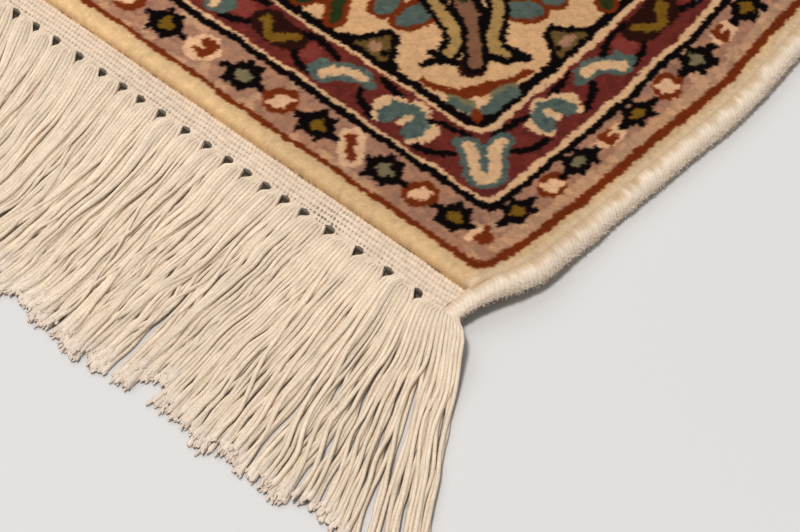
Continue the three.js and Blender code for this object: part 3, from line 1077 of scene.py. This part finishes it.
def strand_paths(rng, edges, first, last, pitch, layers, steps, lengths):
    """Centre lines of the strands of a row of bundles, and how far along each point is."""
    u = np.append(np.linspace(0, 0.93, steps - 4) ** 1.15, [0.955, 0.975, 0.99, 1.0])
    paths = []
    for k in range(first, last):
        width = edges[k + 1] - edges[k]
        middle = (edges[k] + edges[k + 1]) / 2
        count = max(3, int(round(width / pitch)))
        length = lengths[k] if k < len(lengths) else FRINGE_LENGTH + 1.6 * math.sin(middle * 0.31)
        clumps = max(1, int(round(count / STRANDS_IN_CLUMP)))
        clump_reach = rng.normal(0, 1.7, clumps)
        bundle_lean = rng.normal(0, 0.9)
        for layer in range(layers):
            for n in range(count):
                place = (n + 0.5 + 0.5 * (layer % 2) - 0.25) / count - 0.5
                own = middle + place * width
                clump = min(max(int((place + 0.5) * clumps), 0), clumps - 1)
                gather = ((clump + 0.5) / clumps - 0.5 - place) * width * 0.2 * smooth(0.5, 1, u)
                shift, bow = drift_at(own)
                on_top = layer == layers - 1 and rng.uniform() < STRAY_SHARE
                stray = rng.normal(0, 4.0) * smooth(0.15, 1, u) if on_top else 0
                line = np.full(len(u), own)
                down = FRINGE_LENGTH * u
                wave = 1.2 * noise(line, down, 13, group_seed(k) + layer)
                wave = wave + 0.35 * noise(line, down, 5, 86 + layer)
                swing = rng.normal(0, 0.25)
                own_wave = swing * np.sin(2 * np.pi * (u * rng.uniform(1, 3.5) + rng.uniform()))
                wave = wave + rng.normal(0, 0.25) + own_wave
                loose = smooth(0.05, 0.35, u)
                neck = place * (width - (OUTER_HOLE_WIDTH if k == 0 else HOLE_WIDTH))
                spread = neck + (place * width * 1.03 - neck) * smooth(0.0, 0.07, u)
                lean = (shift + bundle_lean) * (1 - (1 - u) ** bow)
                x = LINE_X - middle - spread + lean + stray + loose * wave - gather
                reach = length + clump_reach[clump] + rng.normal(0, 0.45) + 0.9 * (layers - 1 - layer)
                y = -(ROOT_Y + (reach + HALF_LENGTH - ROOT_Y) * u)
                rest = LYING_HEIGHT + LAYER_STEP * layer + rng.normal(0, 0.07) + (0.6 if on_top else 0)
                crown = 1.5 + 0.42 * layer + 0.55 * math.cos(math.pi * place)
                start = 0.75 + 0.3 * layer
                z = start + (crown - start) * smooth(0.005, 0.055, u)
                z = z + (rest - z) * smooth(0.08, 0.32, u)
                z = np.maximum(z - 0.25 * smooth(0.75, 1, u) * layer, LYING_HEIGHT)
                paths.append(np.stack([x, y, z], 1))
    return np.array(paths), u


def strand_radii(rng, count, u):
    """Radii along the strands, which are uneven and open out at their tips."""
    own = np.clip(rng.normal(1, 0.11, (count, 1)), 0.75, 1.25)
    flare = 1 + 0.45 * smooth(0.93, 0.98, u)
    flare[-1] = 0.6
    waves = 1 + 0.04 * np.sin(u[None] * 70 + rng.uniform(0, 6, (count, 1)))
    return STRAND_RADIUS * own * flare * waves


def frayed_tips(rng, paths, hairs):
    """Soft hairs that spread from the end of each strand."""
    tips = np.repeat(paths[:, -1], hairs, axis=0)
    ways = paths[:, -1] - paths[:, -4]
    ways = np.repeat(ways / np.linalg.norm(ways, axis=1, keepdims=True), hairs, axis=0)
    count = len(tips)
    start = tips + rng.normal(0, 0.28, (count, 3)) - ways * 0.9
    ways = ways + rng.normal(0, 0.28, (count, 3))
    ways[:, 2] *= 0.4
    length = rng.uniform(0.8, 1.6, (count, 1))
    line = np.stack([start, start + ways * length * 0.55, start + ways * length], 1)
    line[:, :, 2] = np.maximum(line[:, :, 2], 0.2)
    radii = np.tile([0.36, 0.34, 0.14], (count, 1))
    return tubes(line, radii, 4, np.full((count, 3), 1.0), linear(COTTON) * TIP_TINT)


def finish_piece(name, parts, turn, material, node):
    """Piece from its parts, turned to the far end or side if asked, that stands for a node."""
    points, faces, colours = join(parts)
    if turn:
        points[:, :2] *= -1
    points[:, 2] = np.maximum(points[:, 2], FLOOR_GAP)
    obj = dress(mesh_object(name, points, faces, colours), material)
    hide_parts(node)


def make_fringe(name, turn, first, last, pitch, layers, steps, sides, hairs, seed, node):
    """Bundles from first to last, in layers of strands. hairs is how many fray from each tip."""
    rng = np.random.default_rng(seed)
    lengths = [] if turn else NEAR_LENGTHS
    paths, u = strand_paths(rng, bundle_edges(), first, last, pitch, layers, steps, lengths)
    radii = strand_radii(rng, len(paths), u)
    tones = rng.normal(1, 0.055, (len(paths), 1)) * (1 + 0.02 * np.sin(5 * u)[None])
    tones = tones * rng.normal(1, 0.035, (len(paths), len(u)))
    tip = smooth(0.90, 0.98, u)[None, :, None]
    tones = tones[..., None] * (1 + tip * (TIP_TINT - 1))
    parts = [tubes(paths, radii, sides, tones, linear(COTTON), 2.2)]
    if hairs:
        parts.append(frayed_tips(rng, paths, hairs))
    finish_piece(name, parts, turn, STRAND, node)


# Overcast sides

TURN_PITCH = 1.02
BEIGE_TINT = np.array([1.0, 1.02, 1.06])


def cord_surface(y, angle):
    """Point and tone of the overcast cord at a place along it and round it, on the +X side."""
    c, n = np.cos(angle), np.sin(angle)
    out = np.sign(c) * np.abs(c) ** np.where(c < 0, 0.35, 0.95)
    up = np.sign(n) * np.abs(n) ** np.where(c < 0, 0.35, 1.0)
    turns = np.sin(2 * np.pi * (y / TURN_PITCH + out * 1.3) + 1.3 * noise(y, angle * 3, 4.0, 71))
    fuzz = noise(y, angle * 2.3, 0.55, 72)
    swell = 1 + (0.016 * turns + 0.022 * fuzz + 0.02 * noise(y, angle, 6.0, 77)) * (c > -0.3)
    from_end = HALF_LENGTH - np.abs(y)
    end = smooth(0, 14, from_end)
    past = np.clip(-from_end / CORD_TURN, 0, 1)
    half_w = (CORD_WIDTH + TUCKED) / 2 * (0.72 + 0.28 * end) * np.sqrt(1 - past ** 2)
    half_h = PILE_TOP / 2 * (0.4 + 0.54 * end) * np.sqrt(1 - past ** 2)
    middle = outer_edge(y) - (CORD_WIDTH + TUCKED) / 2 - 3.2 * past ** 1.5 + 0.5 * (1 - end)
    x = middle + half_w * swell * out + 0.2 * noise(y, y * 0, 7, 73)
    z = half_h + half_h * swell * up
    pale = smooth(-0.6, 0.6, out + 0.4 * noise(y, angle, 1.1, 76)) + 0.5 * (1 - end)
    # Painted shade and light: the silk is darker in the grooves between the turns and lighter on their
    # crests; fuzz and the broad noise are its own uneven tone.
    tone = 1 + 0.06 * turns + 0.07 * fuzz + 0.05 * noise(y, angle, 6, 75)
    return x, np.maximum(z, 0.0), np.clip(pale, 0, 1), tone


def side_hairs(rng, y_from, y_to, count):
    """Loose silk fibres that stand out from the cord."""
    y = rng.uniform(y_from + 2, y_to - 1, count)
    angle = rng.uniform(-0.7, 0.7, count)
    x, z, _, _ = cord_surface(y, angle)
    start = np.stack([x, y, z], 1)
    way = np.stack([np.cos(angle), rng.normal(0, 0.9, count), np.sin(angle) * 0.8], 1)
    way += rng.normal(0, 0.3, (count, 3))
    way /= np.linalg.norm(way, axis=1, keepdims=True)
    length = rng.uniform(0.3, 0.9, (count, 1))
    bend = way + np.stack([np.zeros(count), rng.normal(0, 0.5, count), np.full(count, -0.4)], 1)
    middle, tip = start + way * length * 0.5, start + (way + bend) * length * 0.5
    line = np.stack([start - way * 0.2, middle, tip], 1)
    line[:, :, 2] = np.maximum(line[:, :, 2], 0.08)
    radii = np.tile([0.08, 0.06, 0.03], (count, 1))
    return tubes(line, radii, 3, np.full((count, 3), 1.05), SIDE_SHADE * linear(SIDE_SILK))


def make_selvedge(name, turn, y_from, y_to, step, sides, hairs, node):
    """Cord along one side, wound with slanted turns of silk and blending into the pile's edge."""
    count = int((y_to - y_from) / step) + 1
    angles = 2 * np.pi * (np.arange(sides) + 0.5) / sides
    y, angle = np.meshgrid(np.linspace(y_from, y_to, count), angles, indexing="ij")
    x, z, pale, tone = cord_surface(y, angle)
    points = as_points(x, y, z)
    beige = PILE_SHADE * linear(YARNS["edging"]) * BEIGE_TINT
    blend = beige * (1 - pale[..., None]) + SIDE_SHADE * linear(SIDE_SILK) * pale[..., None]
    colours = (blend * tone[..., None]).reshape(-1, 3)
    i, k = np.meshgrid(np.arange(count - 1), np.arange(sides), indexing="ij")
    p, q = i * sides + k, i * sides + (k + 1) % sides
    faces = np.stack([p, p + sides, q + sides, q], -1).reshape(-1, 4)
    parts = [(points, faces, colours)]
    if hairs:
        parts.append(side_hairs(np.random.default_rng(91), y_from, y_to, hairs))
    finish_piece(name, parts, turn, SIDE, node)


# Camera, floor and lights

CAMERA_AT = (629.2, -797.7, 545.4)
CAMERA_RIGHT = (0.72189, 0.69139, -0.02923)
CAMERA_UP = (-0.49954, 0.54987, 0.66940)
CAMERA_LENS = 150.8
FLOOR_REACH = 6.0
LIGHT_AIM = (0.2, -0.35, 0)


def make_camera():
    data = bpy.data.cameras.new("camera")
    data.lens = CAMERA_LENS
    data.sensor_width = 36
    data.clip_start = 0.01
    camera = in_scene("camera", data)
    right, up = Vector(CAMERA_RIGHT), Vector(CAMERA_UP)
    turn = Matrix((right, up, right.cross(up))).transposed()
    camera.matrix_world = Matrix.Translation(Vector(CAMERA_AT) * MM) @ turn.to_4x4()
    bpy.context.scene.camera = camera


def make_floor():
    mesh = bpy.data.meshes.new("floor")
    corners = [(FLOOR_REACH * a, FLOOR_REACH * b, 0) for a, b in ((-1, -1), (1, -1), (1, 1), (-1, 1))]
    mesh.from_pydata(corners, [], [(0, 1, 2, 3)])
    floor = in_scene("floor", mesh)
    floor.location.z = -0.0002
    material, _, _, shader = new_material("pale_floor")
    shader.inputs["Base Color"].default_value = (*linear(FLOOR), 1)
    shader.inputs["Roughness"].default_value = 0.8
    shader.inputs["Specular IOR Level"].default_value = 0.2
    mesh.materials.append(material)


def area_light(name, azimuth, elevation, distance, size, power, colour):
    """Square light that faces the rug, azimuth counted from +X towards +Y."""
    data = bpy.data.lights.new(name, "AREA")
    data.size = size
    data.energy = power
    data.color = colour
    light = in_scene(name, data)
    a, e = math.radians(azimuth), math.radians(elevation)
    way = Vector((math.cos(a) * math.cos(e), math.sin(a) * math.cos(e), math.sin(e)))
    light.location = way * distance + Vector(LIGHT_AIM)
    light.rotation_euler = way.to_track_quat("Z", "Y").to_euler()


def make_lights():
    area_light("key", -72, 70, 2.6, 0.4, 50, (1.0, 0.97, 0.935))
    area_light("fill", 170, 55, 3.0, 2.5, 26, (1.0, 0.985, 0.965))
    world = bpy.data.worlds.new("studio")
    world.use_nodes = True
    back = world.node_tree.nodes["Background"]
    back.inputs["Color"].default_value = (1.0, 0.97, 0.94, 1)
    back.inputs["Strength"].default_value = 0.3
    bpy.context.scene.world = world


bpy.context.scene.view_settings.view_transform = "Standard"
make_camera()
make_floor()
make_lights()

foundation = make_foundation()
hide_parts("rug_body")
make_pile()
KILIM_SPLIT = HALF_WIDTH - 165
make_kilim("kilim_corner", False, KILIM_SPLIT, HALF_WIDTH, 0.24, 0.26)
make_kilim("kilim_front", False, -HALF_WIDTH, KILIM_SPLIT, 0.48, 0.37)
make_kilim("kilim_back", True, -HALF_WIDTH, HALF_WIDTH, 0.6, 0.45)

make_fringe("fringe_corner", False, 0, NEAR_BUNDLES, STRAND_PITCH, 3, 30, 5, 3, 81, "fringe_front")
make_fringe("fringe_front_rest", False, NEAR_BUNDLES, ALL_BUNDLES, 1.7, 2, 12, 4, 0, 82, "fringe_front")
make_fringe("fringe_back_all", True, 0, ALL_BUNDLES, 1.5, 2, 12, 4, 0, 83, "fringe_back")

SIDE_END = HALF_LENGTH + CORD_TURN
SIDE_SPLIT = 135 - HALF_LENGTH
make_selvedge("side_corner", False, -SIDE_END, SIDE_SPLIT, 0.25, 22, 1500, "selvedge_right")
make_selvedge("side_right", False, SIDE_SPLIT, SIDE_END, 0.6, 12, 0, "selvedge_right")
make_selvedge("side_left", True, -SIDE_END, SIDE_END, 0.6, 12, 0, "selvedge_left")
